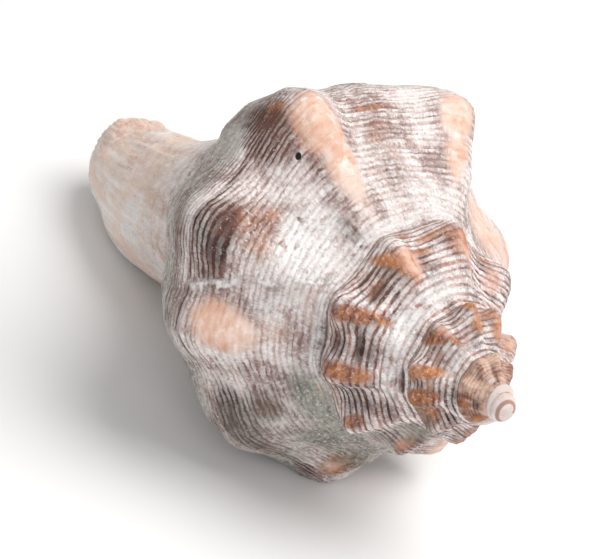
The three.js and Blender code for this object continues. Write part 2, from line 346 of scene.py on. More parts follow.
def outer_rows(skin):
    """Ids and marks of every row of the outside."""
    rim_side = side(row_angle(0), SUTURE)
    ids, marks = [], []
    for row in range(ROWS + 1):
        angle = row_angle(row)
        n = columns(row)
        place = np.linspace(0, SUTURE, n + 1)
        if row >= LAST:
            place = np.r_[place, np.linspace(SUTURE, END, int((END - SUTURE) * PER_PLACE) + 1)[1:]]
        before = row - STEPS
        start = point(rim_side, angle) if before < 0 else skin.row_points[before][columns(before)]
        shift = start - point(side(angle, 0.0), angle)
        fade = np.maximum(1 - place / SUTURE_FADE, 0) ** 2
        around = angle if row < LAST else turned(angle, place)
        p = point(side(angle, place), around) + shift * fade[:, None]
        if before < 0:
            # the first whorl grows from one point, which is the whole first row
            p = start + (p - start) * (row / STEPS)
            row_ids = skin.add(p) if row else np.repeat(skin.add(p[:1]), n + 1)
        else:
            row_ids = np.r_[ids[before][columns(before)], skin.add(p[1:])]
        p[0] = start
        skin.row_points.append(p)
        ids.append(row_ids)
        marks.append(marks_for(angle, place, OUTSIDE))
    return ids, marks


def add_outside(skin):
    ids, marks = outer_rows(skin)
    for row in range(ROWS):
        a, b = ids[row], ids[row + 1]
        ma, mb = marks[row], marks[row + 1]
        if row < LAST:
            n = columns(row + 1)
            b, mb = b[: n + 1], mb[: n + 1]
        if len(a) == len(b):
            skin.strip(a, b, ma, mb)
        else:
            skin.zipper(a, b, ma, mb)
    rim = np.array([row[0] for row in ids[:STEPS]] + [ids[0][0]])
    out, up = side(row_angle(0), SUTURE)
    rings, ring_marks = [rim], [marks_for([row_angle(r) for r in range(STEPS + 1)], 0, TIP)]
    a = np.array([row_angle(r) for r in range(STEPS)])
    for lift in DOME_RINGS:
        tilt = math.radians(lift)
        ring = [out * math.cos(tilt), up + out * DOME_HEIGHT * math.sin(tilt)]
        new = skin.add(point(np.broadcast_to(ring, (STEPS, 2)), a))
        rings.append(np.r_[new, new[0]])
        ring_marks.append(marks_for(np.r_[a, a[-1] + 360 / STEPS], lift / 90, TIP))
    for i in range(len(rings) - 1):
        skin.strip(rings[i], rings[i + 1], ring_marks[i], ring_marks[i + 1])
    top = skin.add(point(np.array([0, up + out * DOME_HEIGHT]), 0.0))[0]
    skin.fan(top, rings[-1][::-1], marks_for(row_angle(0), 1, TIP), ring_marks[-1][::-1])
    return ids, marks


def inner_wall(angle, place, depth):
    inset = WALL * depth * smooth(0, 1.2, place)
    return point(side(angle, place) - outward(angle, place) * inset[..., None], turned(angle, place))


def columella(angle, place, depth):
    layer = GLAZE * depth * (1 - smooth(7, 9, place))
    s = side(angle - 360, place) + outward(angle - 360, place) * layer[..., None]
    return point(s, turned(angle - 360, place))


def slot_floor(place):
    along = smooth(CAVITY_END, SLOT_FULL, place)
    s = side(LIP, place)
    s[..., 0] = s[..., 0] * SLOT_START * (1 - along) + CANAL_DEPTH * RADIUS * along
    return point(s, LIP - SLOT_LEAN * (1 - along))


def corner(wall_angle, columella_angle, depth):
    wall = inner_wall(wall_angle, np.array(CORNER[0] * depth), depth)
    return (wall + columella(columella_angle, np.array(SUTURE + CORNER[1] * depth), depth)) / 2


def hollow_loops():
    """Each loop: points of the wall side, points of the columella side, and their marks."""
    down = np.linspace(0.5, END, 116)
    up = np.linspace(SUTURE + 0.4, END, 77)[::-1]
    loops = []
    for wall_off, columella_off, depth, closing in LIP_ROWS:
        wall_angle, columella_angle = LIP + wall_off, LIP + columella_off
        wall = inner_wall(wall_angle, down, depth)
        back = columella(columella_angle, up, depth)
        close_wall = np.where(down > CAVITY_END, closing, 0)[:, None]
        close_back = np.where(up > CAVITY_END, closing, 0)[:, None]
        wall = wall * (1 - close_wall) + slot_floor(down) * close_wall
        back = back * (1 - close_back) + slot_floor(up) * close_back
        loops.append((corner(wall_angle, columella_angle, depth), wall, back, wall_angle))
    for angle in np.arange(LIP - HOLLOW_START, LIP - CAVITY_TURN, -HOLLOW_STEP):
        end = np.array(CAVITY_END)
        bottom = (inner_wall(angle, end, 1) + columella(angle, end, 1)) / 2
        wall, back = inner_wall(angle, down, 1), columella(angle, up, 1)
        wall[down > CAVITY_END] = bottom
        back[up > CAVITY_END] = bottom
        loops.append((corner(angle, angle, 1), wall, back, angle))
    return loops, down, up


def add_hollow(skin, ids, marks):
    loops, down, up = hollow_loops()
    wall_ids, back_ids, wall_marks, back_marks = [], [], [], []
    for start, wall, back, angle in loops:
        start_id = skin.add(start)
        wall_ids.append(np.r_[start_id, skin.add(wall)])
        back_ids.append(np.r_[skin.add(back), start_id])
        wall_marks.append(marks_for(angle, np.r_[CORNER[0], down], INSIDE))
        back_marks.append(marks_for(angle - 360, np.r_[up, SUTURE + CORNER[1]], INSIDE))
    lip = ids[ROWS]
    lip_marks = marks_for(LIP, marks[ROWS][:, 1], INSIDE)
    back_row = ids[LAST][columns(LAST) :][::-1]
    back_row_marks = marks_for(LIP - 360, marks[LAST][columns(LAST) :, 1][::-1], INSIDE)
    skin.zipper(lip, wall_ids[0], lip_marks, wall_marks[0])
    skin.zipper(back_row, back_ids[0], back_row_marks, back_marks[0])
    for i in range(len(loops) - 1):
        skin.strip(wall_ids[i], wall_ids[i + 1], wall_marks[i], wall_marks[i + 1])
        skin.strip(back_ids[i], back_ids[i + 1], back_marks[i], back_marks[i + 1])
    last = np.r_[wall_ids[-1], back_ids[-1]]
    last_marks = np.r_[wall_marks[-1], back_marks[-1]]
    centre = np.mean(np.r_[loops[-1][1], loops[-1][2]], axis=0)
    skin.fan(skin.add(centre)[0], last[::-1], marks_for(loops[-1][3], 5, INSIDE), last_marks[::-1])
    return wall_ids[: len(LIP_ROWS)], back_ids[: len(LIP_ROWS)]


def add_canal_end(skin, ids, wall_ids, back_ids):
    around = [row[-1] for row in ids[LAST:]]
    edge = around + [w[-1] for w in wall_ids] + [b[0] for b in back_ids[::-1]] + [around[0]]
    out, up = side(LIP, END)
    away = out - CANAL_DEPTH * RADIUS
    centre = skin.add(point(np.array([away, up - out * CANAL_END_ROUND]), LIP + 180))[0]
    skin.fan(centre, edge, marks_for(LIP, END, TORN), marks_for(np.full(len(edge), LIP), END, TORN))


def build_skin():
    skin = Skin()
    ids, marks = add_outside(skin)
    wall_ids, back_ids = add_hollow(skin, ids, marks)
    add_canal_end(skin, ids, wall_ids, back_ids)
    points = np.concatenate(skin.points)
    faces = np.concatenate([f for f, _ in skin.faces])
    corner_marks = np.concatenate([m for _, m in skin.faces])
    # points in the same place are one point, and a face that meets its own back cancels out with it
    _, first, same = np.unique(np.round(points * MERGE), axis=0, return_index=True, return_inverse=True)
    same = same.reshape(-1)
    faces = same[faces]
    points = points[first]
    real = (faces[:, 0] != faces[:, 1]) & (faces[:, 1] != faces[:, 2]) & (faces[:, 2] != faces[:, 0])
    faces, corner_marks = faces[real], corner_marks[real]
    ordered = np.sort(faces, axis=1)
    _, group, number = np.unique(ordered, axis=0, return_inverse=True, return_counts=True)
    alone = number[group.reshape(-1)] == 1
    return points, faces[alone], corner_marks[alone]


def vertex_normals(points, faces):
    p = points[faces]
    n = np.cross(p[:, 1] - p[:, 0], p[:, 2] - p[:, 0])
    total = np.zeros_like(points)
    for k in range(3):
        np.add.at(total, faces[:, k], n)
    return total / np.maximum(np.linalg.norm(total, axis=1), 1e-12)[:, None]


def rough(x, y, seed):
    """Smooth noise from -1 to 1, about one swell for each unit of x and y."""
    values = np.random.default_rng(seed).uniform(-1, 1, (64, 64))
    i, j = np.floor(x).astype(int), np.floor(y).astype(int)
    u, v = smooth(0, 1, x - i), smooth(0, 1, y - j)
    a, b = values[i % 64, j % 64], values[(i + 1) % 64, j % 64]
    c, d = values[i % 64, (j + 1) % 64], values[(i + 1) % 64, (j + 1) % 64]
    return (a * (1 - u) + b * u) * (1 - v) + (c * (1 - u) + d * u) * v


def cord_coordinate(angle, place):
    """Counts the cords of the body whorl from the suture. A cord lies between two whole numbers."""
    c = 7 * np.minimum(place, 6) + 4.5 * np.maximum(place - 6, 0)
    return c + 0.3 * rough(angle / 22, c * 0.8, 1) + 0.12 * rough(angle / 6, c * 1.7, 2)


def groove(c):
    away = np.abs(c - np.round(c))
    return 1 - smooth(0.1, 0.26, away)


def grooves(angle, c):
    """1 between two cords. The younger whorls have more cords, which start between the older ones."""
    body, spire = smooth(*BODY, angle), smooth(*SPIRE, angle)
    return groove(c) * body + (groove(c / 2) * (1 - spire) + groove(c / 3) * spire) * (1 - body)


def patches(angle, place, spots):
    """The strongest of some soft spots, each an angle, a place, two half widths, a strength and a lean."""
    total = np.zeros_like(angle)
    for spot_angle, spot_place, wide, high, strength, lean in spots:
        along = (place - spot_place) / high
        across = (angle - spot_angle + lean * (place - spot_place)) / wide
        total = np.maximum(total, strength * np.exp(-((across**2 + along**2) ** 1.5)))
    return total


# Each patch: its angle and place, its half widths, its strength, and how it leans.
PEACH = [
    (-103.5, 2.5, 7, 0.75, 1.0, 0),
    (-103.5, 1.6, 6.5, 1.0, 0.85, 0),
    (-103, 0.8, 6, 0.5, 0.45, 0),
    (-50, 2.6, 5.5, 0.6, 1.0, 0),
    (-50, 1.8, 4.5, 0.8, 0.8, 0),
    (-10, 2.3, 13, 0.8, 0.75, 0),
    (-172, 2.2, 8, 0.75, 1.0, -2),
    (-168, 1.2, 7, 0.7, 0.45, 0),
    (-153, 0.5, 12, 0.3, 0.4, 0),
    (-252, 2.1, 4, 0.5, 0.6, 0),
    (-302, 2.5, 7, 0.9, 0.8, 0),
    (-340, 2.5, 7, 0.9, 0.7, 0),
    (3, 2.5, 9, 0.9, 0.8, 0),
    (-390, 2.2, 7, 1.0, 0.45, 0),
    (-421, 2.1, 8, 0.9, 0.8, 6),
    (-461.5, 2.2, 8, 0.65, 1.0, 2),
    (-606, 2.2, 5, 0.9, 0.6, 0),
    (-835, 2.6, 7, 0.8, 0.6, 7),
    (-792, 2.1, 9, 0.6, 0.6, 0),
    (-768, 2.0, 9, 1.2, 0.5, 0),
    (-740, 2.4, 9, 1.2, 0.6, 0),
    (-120, 8.8, 60, 0.8, 0.45, 0),
    (-90, 10.5, 80, 1.2, 0.6, 0),
]
RUST = [
    (-141, 2.55, 4.5, 0.22, 0.9, 0),
    (-146, 2.6, 8, 0.25, 0.6, 0),
    (-138, 2.0, 12, 0.65, 0.6, 0),
    (-112, 3.6, 5, 0.6, 1.0, 0),
    (-109.5, 2.6, 3, 1.1, 0.6, 0),
    (-78, 2.9, 12, 0.12, 0.8, 0),
    (-78, 2.2, 7, 0.45, 0.55, 0),
    (-75, 1.7, 6, 0.35, 0.45, 0),
    (-208, 2.7, 8, 0.2, 0.6, 0),
    (-207, 1.8, 5, 0.6, 0.5, 0),
    (-253, 2.0, 5, 0.7, 1.1, 0),
    (-536, 2.4, 5.5, 1.1, 1.0, 0),
    (-569, 2.7, 4.5, 0.6, 0.9, 0),
    (-505, 2.4, 5, 1.3, 1.0, 6),
    (-472, 2.7, 4.5, 1.0, 0.9, 7),
    (-457, 3.6, 8, 0.35, 0.6, 0),
    (-468, 2.2, 5, 0.9, 0.9, 4),
    (-426, 2.5, 11, 0.8, 0.8, 6),
    (-430, 2.2, 3, 0.9, 0.5, 6),
    (-608, 2.0, 5, 0.9, 1.0, 0),
    (-523, 3.3, 7, 0.3, 0.8, 0),
    (-520, 2.15, 12, 0.18, 0.7, 0),
    (-487, 2.4, 9, 0.3, 0.8, 0),
    (-450, 2.5, 11, 0.2, 0.6, 0),
    (-447, 1.9, 11, 0.2, 0.5, 0),
    (-440, 3.1, 12, 0.25, 0.7, 0),
    (-400, 2.9, 12, 0.2, 0.6, 0),
    (-820, 2.9, 10, 0.25, 0.6, 0),
    (-860, 2.9, 8, 0.25, 0.6, 0),
    (-890, 2.0, 8, 0.3, 0.7, 0),
    (-858, 1.9, 10, 0.3, 0.5, 0),
    (-653, 2.6, 8, 0.7, 0.7, 0),
    (-692, 2.6, 8, 0.7, 0.7, 0),
    (-740, 2.0, 7, 1.0, 0.6, 0),
    (-768, 1.9, 8, 1.2, 1.0, 0),
    (-801, 3.2, 4.5, 0.9, 0.9, 4),
    (-795, 2.0, 12, 0.7, 0.9, 0),
    (-780, 3.0, 14, 0.7, 0.7, 0),
    (-846, 3.0, 7, 1.2, 1.0, 7),
    (-830, 1.7, 8, 0.8, 0.9, 7),
    (-876, 2.3, 7, 2.0, 1.1, 7),
    (-903, 2.6, 8, 1.8, 1.1, 2),
    (-925, 2.9, 20, 1.6, 0.9, 0),
    (-948, 1.6, 9, 1.2, 0.6, 0),
    (-988, 1.6, 11, 1.2, 0.6, 0),
    (-1028, 2.5, 11, 1.2, 0.6, 0),
    (-1300, 1.4, 12, 0.9, 1.0, 0),
    (-1262, 2.9, 6, 1.8, 1.0, 0),
    (-1248, 2.9, 4, 1.8, 0.8, 0),
    (-1285, 3.2, 6, 1.2, 0.8, 0),
    (-1160, 1.2, 5, 1.2, 0.6, 0),
]
# Dark brown marks. A few of them are painted shadow, each marked where it stands.
DARK = [
    (-148, 2.8, 12, 0.48, 1.2, 0),
    (-158, 2.85, 6, 0.35, 0.6, 0),
    (-143, 2.55, 6, 0.2, 0.5, 0),
    (-116, 3.3, 7, 0.8, 1.0, 0),
    (-113, 4.2, 5, 0.6, 0.8, 0),
    (-153, 3.9, 8, 0.7, 0.6, 0),
    (-176, 3.9, 6, 0.6, 0.5, 0),
    (-212, 3.6, 9, 0.5, 0.5, 0),
    (-116, 2.6, 4, 0.5, 0.5, 0),
    (-209, 2.65, 14, 0.5, 1.15, 0),
    (-205, 1.8, 9, 0.7, 0.55, 0),
    (-222, 2.6, 8, 0.4, 0.6, 0),
    (-247, 2.8, 5, 0.25, 1.0, 0),
    (-239, 2.7, 8, 0.2, 0.6, 0),
    (-115, 0.55, 2.8, 0.45, 1.3, 2),
    # painted shadow along the suture, under the whorl above
    (-172, 0.12, 16, 0.2, 1.3, 0),
    (-554, 2.7, 9, 0.9, 0.9, 0),
    (-546, 3.0, 5, 0.6, 0.8, 0),
    (-543, 2.2, 3, 1.0, 0.8, 0),
    (-580, 2.6, 8, 0.5, 0.5, 0),
    (-523, 2.9, 9, 0.25, 0.8, 0),
    (-519, 2.1, 10, 0.25, 0.9, 0),
    (-523, 3.35, 9, 0.3, 0.6, 0),
    (-556, 2.0, 10, 0.5, 0.6, 0),
    (-519, 1.7, 10, 0.3, 0.4, 0),
    (-513, 2.5, 4, 1.0, 0.6, 6),
    (-487, 3.15, 8, 0.2, 0.8, 0),
    (-487, 2.2, 10, 0.35, 0.8, 0),
    (-478, 2.6, 4, 0.8, 0.6, 7),
    (-534, 0.35, 12, 0.14, 1.2, 0),
    # these two are a painted shadow border across the whorl
    (-566, 1.1, 8, 0.2, 0.8, 0),
    (-553, 0.8, 8, 0.2, 0.8, 0),
    (-891, 2.9, 5, 0.6, 0.7, 0),
    (-910, 2.0, 5, 1.2, 0.5, 0),
    (-937, 1.0, 8, 0.45, 1.1, 0),
    (-915, 0.6, 14, 0.35, 0.8, -20),
    (-890, 0.2, 30, 0.25, 0.7, 0),
    (-1262, 1.1, 16, 0.4, 0.7, 0),
]
CHALK = [
    (-66, 0.6, 22, 0.8, 0.6, 0),
    (-76, 1.8, 21, 1.4, 0.4, 0),
    (-132, 1.0, 22, 1.0, 0.85, 0),
    (-160, 1.1, 9, 0.9, 0.65, 6),
    (-11, 3.05, 5, 0.3, 1.0, 0),
    (-490, 0.75, 75, 0.5, 0.95, 0),
    (-440, 1.3, 25, 0.8, 0.6, 0),
    (-840, 0.9, 55, 0.7, 0.55, 0),
    (-888, 1.6, 5, 1.0, 0.5, 0),
    (-860, 2.4, 6, 1.0, 0.5, 0),
    (-815, 2.4, 5, 1.0, 0.5, 0),
    (-1180, 0.7, 25, 0.3, 0.6, 0),
]
# Grey-green crust patches. They lie on the shaded lower left and on other sides away from the light, so their
# grey-green is partly real crust and partly painted shade.
CRUST_AND_SHADE = [
    (-205, 0.5, 22, 0.6, 0.8, 0),
    (-232, 1.0, 18, 1.0, 0.75, 0),
    (-235, 2.6, 10, 0.8, 0.5, 0),
    (-215, 2.4, 28, 1.6, 0.4, 0),
    (-258, 1.0, 18, 1.2, 0.6, 0),
    (-190, 3.7, 25, 0.8, 0.5, 0),
    (-240, 3.3, 20, 0.5, 0.6, 0),
    (-600, 1.2, 20, 1.2, 0.6, 0),
    (-600, 3.2, 18, 0.8, 0.5, 0),
    (-935, 3.2, 25, 0.9, 0.45, 0),
    (-350, 5.0, 40, 1.5, 0.35, 0),
]
# a dark line under the shoulder: some angles, and its place at each
SHOULDER_LINE = (
    (-192, -172, -160, -148, -138, -128, -118, -112),
    (3.1, 3.25, 3.3, 3.15, 3.15, 3.3, 3.6, 4.0),
)


def masks(angle, place, kind):
    """How much of each colour and cover a spot of the surface has."""
    outside, inside = kind == OUTSIDE, kind == INSIDE
    spire = smooth(-330, -420, angle)
    early = smooth(-960, -1080, angle)
    line = bump(place, np.interp(angle, *SHOULDER_LINE), 0.1)
    line = line * smooth(-195, -182, angle) * smooth(-106, -112, angle)
    powder = bump(place, 0.25, 0.3) * smooth(-215, -190, angle)
    below = smooth(3.4, 4.2, place) * smooth(8.0, 6.0, place)
    # the seams where the whorls meet: the shader darkens them as painted shade, and draws the tip's brown
    # lines along them
    seam = np.maximum(bump(place, 0, 0.12), bump(place, SUTURE, 0.1) * (angle < LIP - 360))
    return dict(
        peach=patches(angle, place, PEACH) * outside,
        rust=patches(angle, place, RUST) * outside,
        dark=np.maximum(patches(angle, place, DARK), 0.75 * line) * outside,
        chalk=np.maximum(patches(angle, place, CHALK), 0.65 * powder) * outside,
        crust_and_shade=patches(angle, place, CRUST_AND_SHADE) * outside,
        seam=seam * (outside | (kind == TIP)) * (0.7 + 0.5 * rough(angle / 9, place * 0, 12)),
        below=np.maximum(below, bump(place, 3.75, 0.35) * spire) * outside,
        early=np.where(outside, np.maximum(early, smooth(6.5, 9.0, place)), 1.0 - inside),
        inside=inside * smooth(LIP - 3.5, LIP - 9, angle) + 0.5 * (kind == TORN),
    )


def knob_crest(angle, place):
    """The sharper top of each knob and rib, and the hollow beside it, in mm on a whorl of full size."""
    off = angle[..., None] - KNOBS[:, 0]
    share, away, width = CREST_HOLLOW
    across = bump(off, 0, CREST_WIDTH) - share * bump(np.abs(off), away, width)
    crest = (np.minimum(KNOBS[:, 1], 1.2) * across).sum(-1)
    spire = smooth(-320, -400, angle)
    down = bump(place, 2.55, 0.75) * (1 - spire) + smooth(0.4, 1.6, place) * smooth(4.0, 3.1, place) * spire
    height = CREST[0] + CREST[1] * spire + CREST[2] * smooth(-440, -560, angle)
    return height * crest * down * smooth(SMOOTH_BEFORE, SMOOTH_BEFORE + 120, angle)


def relief(angle, place, kind, m):
    """Height of the fine forms above the plain surface, in mm. m holds the masks."""
    scale = np.minimum(GROWTH ** (angle / 360) * 1.6, 1.1)
    g = grooves(angle, cord_coordinate(angle, place))
    bare = (1 - 0.75 * np.clip(m["peach"], 0, 1)) * (1 - 0.6 * m["crust_and_shade"]) * (1 - 0.6 * m["early"])
    edge = smooth(0, 0.25, place) * np.where(angle < LIP - 360, smooth(SUTURE, SUTURE - 0.25, place), 1)
    cords = -CORD_DEPTH * g * bare
    uneven = UNEVEN[0] * rough(angle / 14, place * 1.3, 3) + UNEVEN[1] * rough(angle / 5, place * 3.1, 4)
    crumbs = rough(angle / 3.1, place * 5, 6) + 0.6 * rough(angle / 1.9, place * 9, 7)
    crusty = CRUST_HEIGHT * m["crust_and_shade"] * crumbs
    growth_step = GROWTH_STEP * rough(angle / 2.6 + place * 0.3, place * 0.25, 8)
    canal = CANAL_WAVES * rough(angle / 38 + 7, place * 0.7, 11)
    canal = canal * smooth(6.5, 8.5, place) * smooth(END, END - 0.6, place)
    total = cords + uneven + crusty + growth_step + canal + knob_crest(angle, place)
    swell = TIP_SWELL * smooth(-1200, -1400, angle) * ((kind == OUTSIDE) | (kind == TIP))
    return total * edge * scale * (kind == OUTSIDE) + swell


points, faces, corner_marks = build_skin()
normals = vertex_normals(points, faces)
angle, place, kind = np.moveaxis(corner_marks, -1, 0)
m = masks(angle, place, kind)
# a point is lifted by the least of what its corners say, so that the seams stay closed
lift = np.full(len(points), np.inf)
np.minimum.at(lift, faces.reshape(-1), relief(angle, place, kind, m).reshape(-1))
points = points + normals * lift[:, None]
placed = laid_down(points)
placed[:, 2] = np.maximum(placed[:, 2], 0)

mesh = bpy.data.meshes.new("whelk_shell")
mesh.from_pydata((placed / 1000).tolist(), [], faces.tolist())
mesh.polygons.foreach_set("use_smooth", np.ones(len(faces), bool))


def store(name, *channels):
    data = mesh.attributes.new(name, "FLOAT_VECTOR", "CORNER")
    values = np.stack([c.reshape(-1) for c in channels], -1)
    data.data.foreach_set("vector", values.astype("float32").reshape(-1))


store("grown", angle, place, cord_coordinate(angle, place))
store("hue", m["peach"], m["rust"], m["dark"])
store("film_and_shade", m["chalk"], m["crust_and_shade"], m["inside"])
store("form", m["seam"], m["below"], m["early"])
mesh.update()
shell = bpy.data.objects.new("whelk_shell", mesh)
bpy.context.scene.collection.objects.link(shell)
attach(shell, "root")
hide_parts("shell")


def colour(text):
    """A colour given as it looks, RRGGBB, as the light that it gives back."""
    parts = [int(text[i : i + 2], 16) / 255 for i in (0, 2, 4)]
    return tuple(v / 12.92 if v < 0.04045 else ((v + 0.055) / 1.055) ** 2.4 for v in parts) + (1,)


class Painter:
    """Short names for the nodes of one material."""

    def __init__(self, material):
        material.use_nodes = True
        self.tree = material.node_tree
        self.surface = self.tree.nodes["Principled BSDF"]

    def put(self, socket, value):
        if hasattr(value, "links"):
            self.tree.links.new(value, socket)
        else:
            socket.default_value = value

    def math(self, operation, *values):
        node = self.tree.nodes.new("ShaderNodeMath")
        node.operation = operation
        for socket, value in zip(node.inputs, values):
            self.put(socket, value)
        return node.outputs[0]

    def add(self, a, b):
        return self.math("ADD", a, b)

    def times(self, a, b, *more):
        product = self.math("MULTIPLY", a, b)
        return self.times(product, *more) if more else product

    def less(self, a):
        return self.math("SUBTRACT", 1.0, a)

    def most(self, a, b):
        return self.math("MAXIMUM", a, b)

    def centred(self, value):
        return self.math("SUBTRACT", value, 0.5)

    def swing(self, value, amount):
        """A noise, from 0 to 1, as a push to either side."""
        return self.times(self.centred(value), amount)

    def apart(self, a, b):
        return self.math("ABSOLUTE", self.math("SUBTRACT", a, b))

    def square(self, a):
        return self.math("POWER", a, 2.0)

    def half_and_half(self, a, b):
        return self.add(self.times(a, 0.5), self.times(b, 0.5))

    def step(self, value, start, stop):
        node = self.tree.nodes.new("ShaderNodeMapRange")
        node.interpolation_type = "SMOOTHSTEP"
        self.put(node.inputs["Value"], value)
        self.put(node.inputs["From Min"], start)
        self.put(node.inputs["From Max"], stop)
        return node.outputs["Result"]

    def mix_value(self, factor, a, b):
        node = self.tree.nodes.new("ShaderNodeMix")
        self.put(node.inputs[0], factor)
        self.put(node.inputs[2], a)
        self.put(node.inputs[3], b)
        return node.outputs[0]

    def mix(self, factor, a, b):
        node = self.tree.nodes.new("ShaderNodeMix")
        node.data_type = "RGBA"
        self.put(node.inputs[0], factor)
        self.put(node.inputs[6], colour(a) if isinstance(a, str) else a)
        self.put(node.inputs[7], colour(b) if isinstance(b, str) else b)
        return node.outputs[2]

    def shade(self, value, start, stop, pair):
        """One colour of a pair where the value is at start, the other where it is at stop."""
        return self.mix(self.step(value, start, stop), *pair)

    def parts(self, name):
        node = self.tree.nodes.new("ShaderNodeAttribute")
        node.attribute_name = name
        split = self.tree.nodes.new("ShaderNodeSeparateXYZ")
        self.put(split.inputs[0], node.outputs["Vector"])
        return split.outputs

    def vector(self, x, y, z=0.0):
        node = self.tree.nodes.new("ShaderNodeCombineXYZ")
        for socket, value in zip(node.inputs, (x, y, z)):
            self.put(socket, value)
        return node.outputs[0]

    def noise(self, vector, scale, detail=3.0, roughness=0.55):
        node = self.tree.nodes.new("ShaderNodeTexNoise")
        self.put(node.inputs["Vector"], vector)
        node.inputs["Scale"].default_value = scale
        node.inputs["Detail"].default_value = detail
        node.inputs["Roughness"].default_value = roughness
        return node.outputs["Fac"]

    def here(self):
        return self.tree.nodes.new("ShaderNodeTexCoord").outputs["Object"]


def shell_material():
    material = bpy.data.materials.new("shell_skin")
    p = Painter(material)
    angle, place, cord = p.parts("grown")
    peach, rust, dark = p.parts("hue")
    chalk, crust_and_shade, inside = p.parts("film_and_shade")
    seam, below, early = p.parts("form")
    here = p.here()

    def groove_at(c):
        return p.step(p.apart(c, p.math("ROUND", c)), 0.27, 0.1)

    # the run of the cords and grooves: broken up along the cords, finer on the younger whorls
    shake = p.noise(p.vector(p.times(angle, 0.4), p.times(cord, 0.6)), 1.0, 4.0)
    wavy = p.add(cord, p.swing(shake, 0.9))
    body = p.step(angle, *BODY)
    spire = p.step(angle, *SPIRE)
    tip = p.step(angle, *TIP_TURN)
    older = p.mix_value(spire, groove_at(p.times(wavy, 0.5)), groove_at(p.times(wavy, 1 / 3)))
    dashes = p.noise(p.vector(p.times(angle, 0.22), p.times(cord, 0.9)), 1.0, 3.0, 0.6)
    broken = p.add(0.5, p.times(p.step(dashes, 0.35, 0.62), 0.5))
    run = p.times(p.mix_value(body, older, groove_at(wavy)), broken)
    ticks = p.noise(p.vector(p.times(angle, 2.4), p.times(cord, 0.45)), 1.0, 3.0, 0.7)
    patch = p.noise(p.vector(p.times(angle, 0.07), p.times(place, 1.0)), 1.0, 5.0, 0.65)
    cloud = p.noise(here, 160.0, 5.0, 0.6)
    mottle = p.noise(here, 520.0, 4.0, 0.65)
    fine = p.noise(here, 900.0, 4.0, 0.65)
    grain = p.noise(here, 2600.0, 2.0, 0.6)
    speck = p.noise(here, 3300.0, 1.0, 0.5)

    def spot(mask, start, stop, amount=0.6):
        jitter = p.add(p.swing(cloud, amount), p.swing(ticks, amount))
        jitter = p.add(jitter, p.swing(dashes, amount * 0.7))
        return p.step(p.add(mask, jitter), start, stop)

    is_dark = spot(dark, 0.1, 0.7)
    is_rust = spot(rust, 0.1, 0.9)
    rust_edge = p.times(spot(rust, 0.0, 0.45), p.less(p.times(is_rust, 0.75)))
    is_peach = spot(peach, 0.15, 0.8, 0.4)
    is_chalk = spot(chalk, 0.2, 0.8)
    is_crust_and_shade = spot(crust_and_shade, 0.1, 0.8)

    # the ground colour, which shows in the grooves and where the white cords are worn
    ground = p.mix(body, p.shade(patch, 0.38, 0.62, SPIRE_GROUND), p.shade(patch, 0.4, 0.6, GROUND))
    # greyer below the shoulder; on the body whorl partly painted shade
    ground = p.mix(p.times(below, 0.7), ground, p.mix(body, *BELOW_GROUND))
    tan = p.mix(tip, p.shade(mottle, 0.38, 0.62, TAN), p.shade(cloud, 0.4, 0.62, TIP_PINK))
    # the canal's cream, made paler as painted light
    cream = p.shade(p.half_and_half(cloud, patch), 0.42, 0.6, CREAM)
    ground = p.mix(early, ground, p.mix(p.step(place, 4.5, 7.5), tan, cream))
    ground = p.mix(p.times(rust_edge, 0.75), ground, RUST_EDGE)
    ground = p.mix(is_rust, ground, p.shade(p.half_and_half(fine, cloud), 0.38, 0.6, RUSTY))
    # dark brown, and in a few patches painted shadow
    ground = p.mix(is_dark, ground, p.shade(cloud, 0.35, 0.65, DARK_BROWN))
    peachy = p.shade(p.half_and_half(cloud, dashes), 0.4, 0.62, PEACHY)
    peachy = p.mix(p.step(mottle, 0.5, 0.75), peachy, PALE_PEACH)
    on_spire = p.times(p.less(body), p.less(early))
    peachy = p.mix(on_spire, peachy, p.shade(mottle, 0.35, 0.65, SPIRE_PEACH))
    ground = p.mix(is_peach, ground, peachy)
    # grey-green crust, partly real crust and partly painted shade
    ground = p.mix(is_crust_and_shade, ground, p.shade(fine, 0.3, 0.7, CRUST_AND_SHADE_GREY))

    # the whitish cords over it, thinner where the ground is dark
    worn = p.step(p.add(patch, p.swing(dashes, 0.8)), 0.3, 0.62)
    thin = p.mix_value(body, 0.68, 0.25)
    cover = p.times(p.less(run), p.most(worn, p.add(thin, p.times(worn, 0.7))))
    cover = p.times(cover, p.add(0.4, p.times(p.step(ticks, 0.32, 0.6), 0.6)))
    cover = p.most(cover, p.times(worn, p.step(patch, 0.5, 0.7), 0.75))
    thread = p.mix_value(p.step(run, 0.3, 0.0), 0.9, 0.45)
    for mask, share in ((is_dark, thread), (is_rust, 0.88), (is_peach, 0.85), (is_crust_and_shade, 0.45)):
        cover = p.times(cover, p.less(p.times(mask, share)))
    cover = p.times(cover, p.most(body, p.add(0.6, p.times(p.step(mottle, 0.4, 0.55), 0.4))))
    cover = p.times(cover, p.less(p.times(early, 0.65)))
    cover = p.times(cover, p.less(tip))
    cover = p.most(cover, p.times(is_chalk, p.less(p.times(run, 0.35)), p.step(mottle, 0.34, 0.46)))
    specks = p.times(p.step(speck, 0.68, 0.74), p.step(mottle, 0.42, 0.6), p.most(is_rust, is_dark))
    cover = p.most(cover, p.times(specks, 0.55))

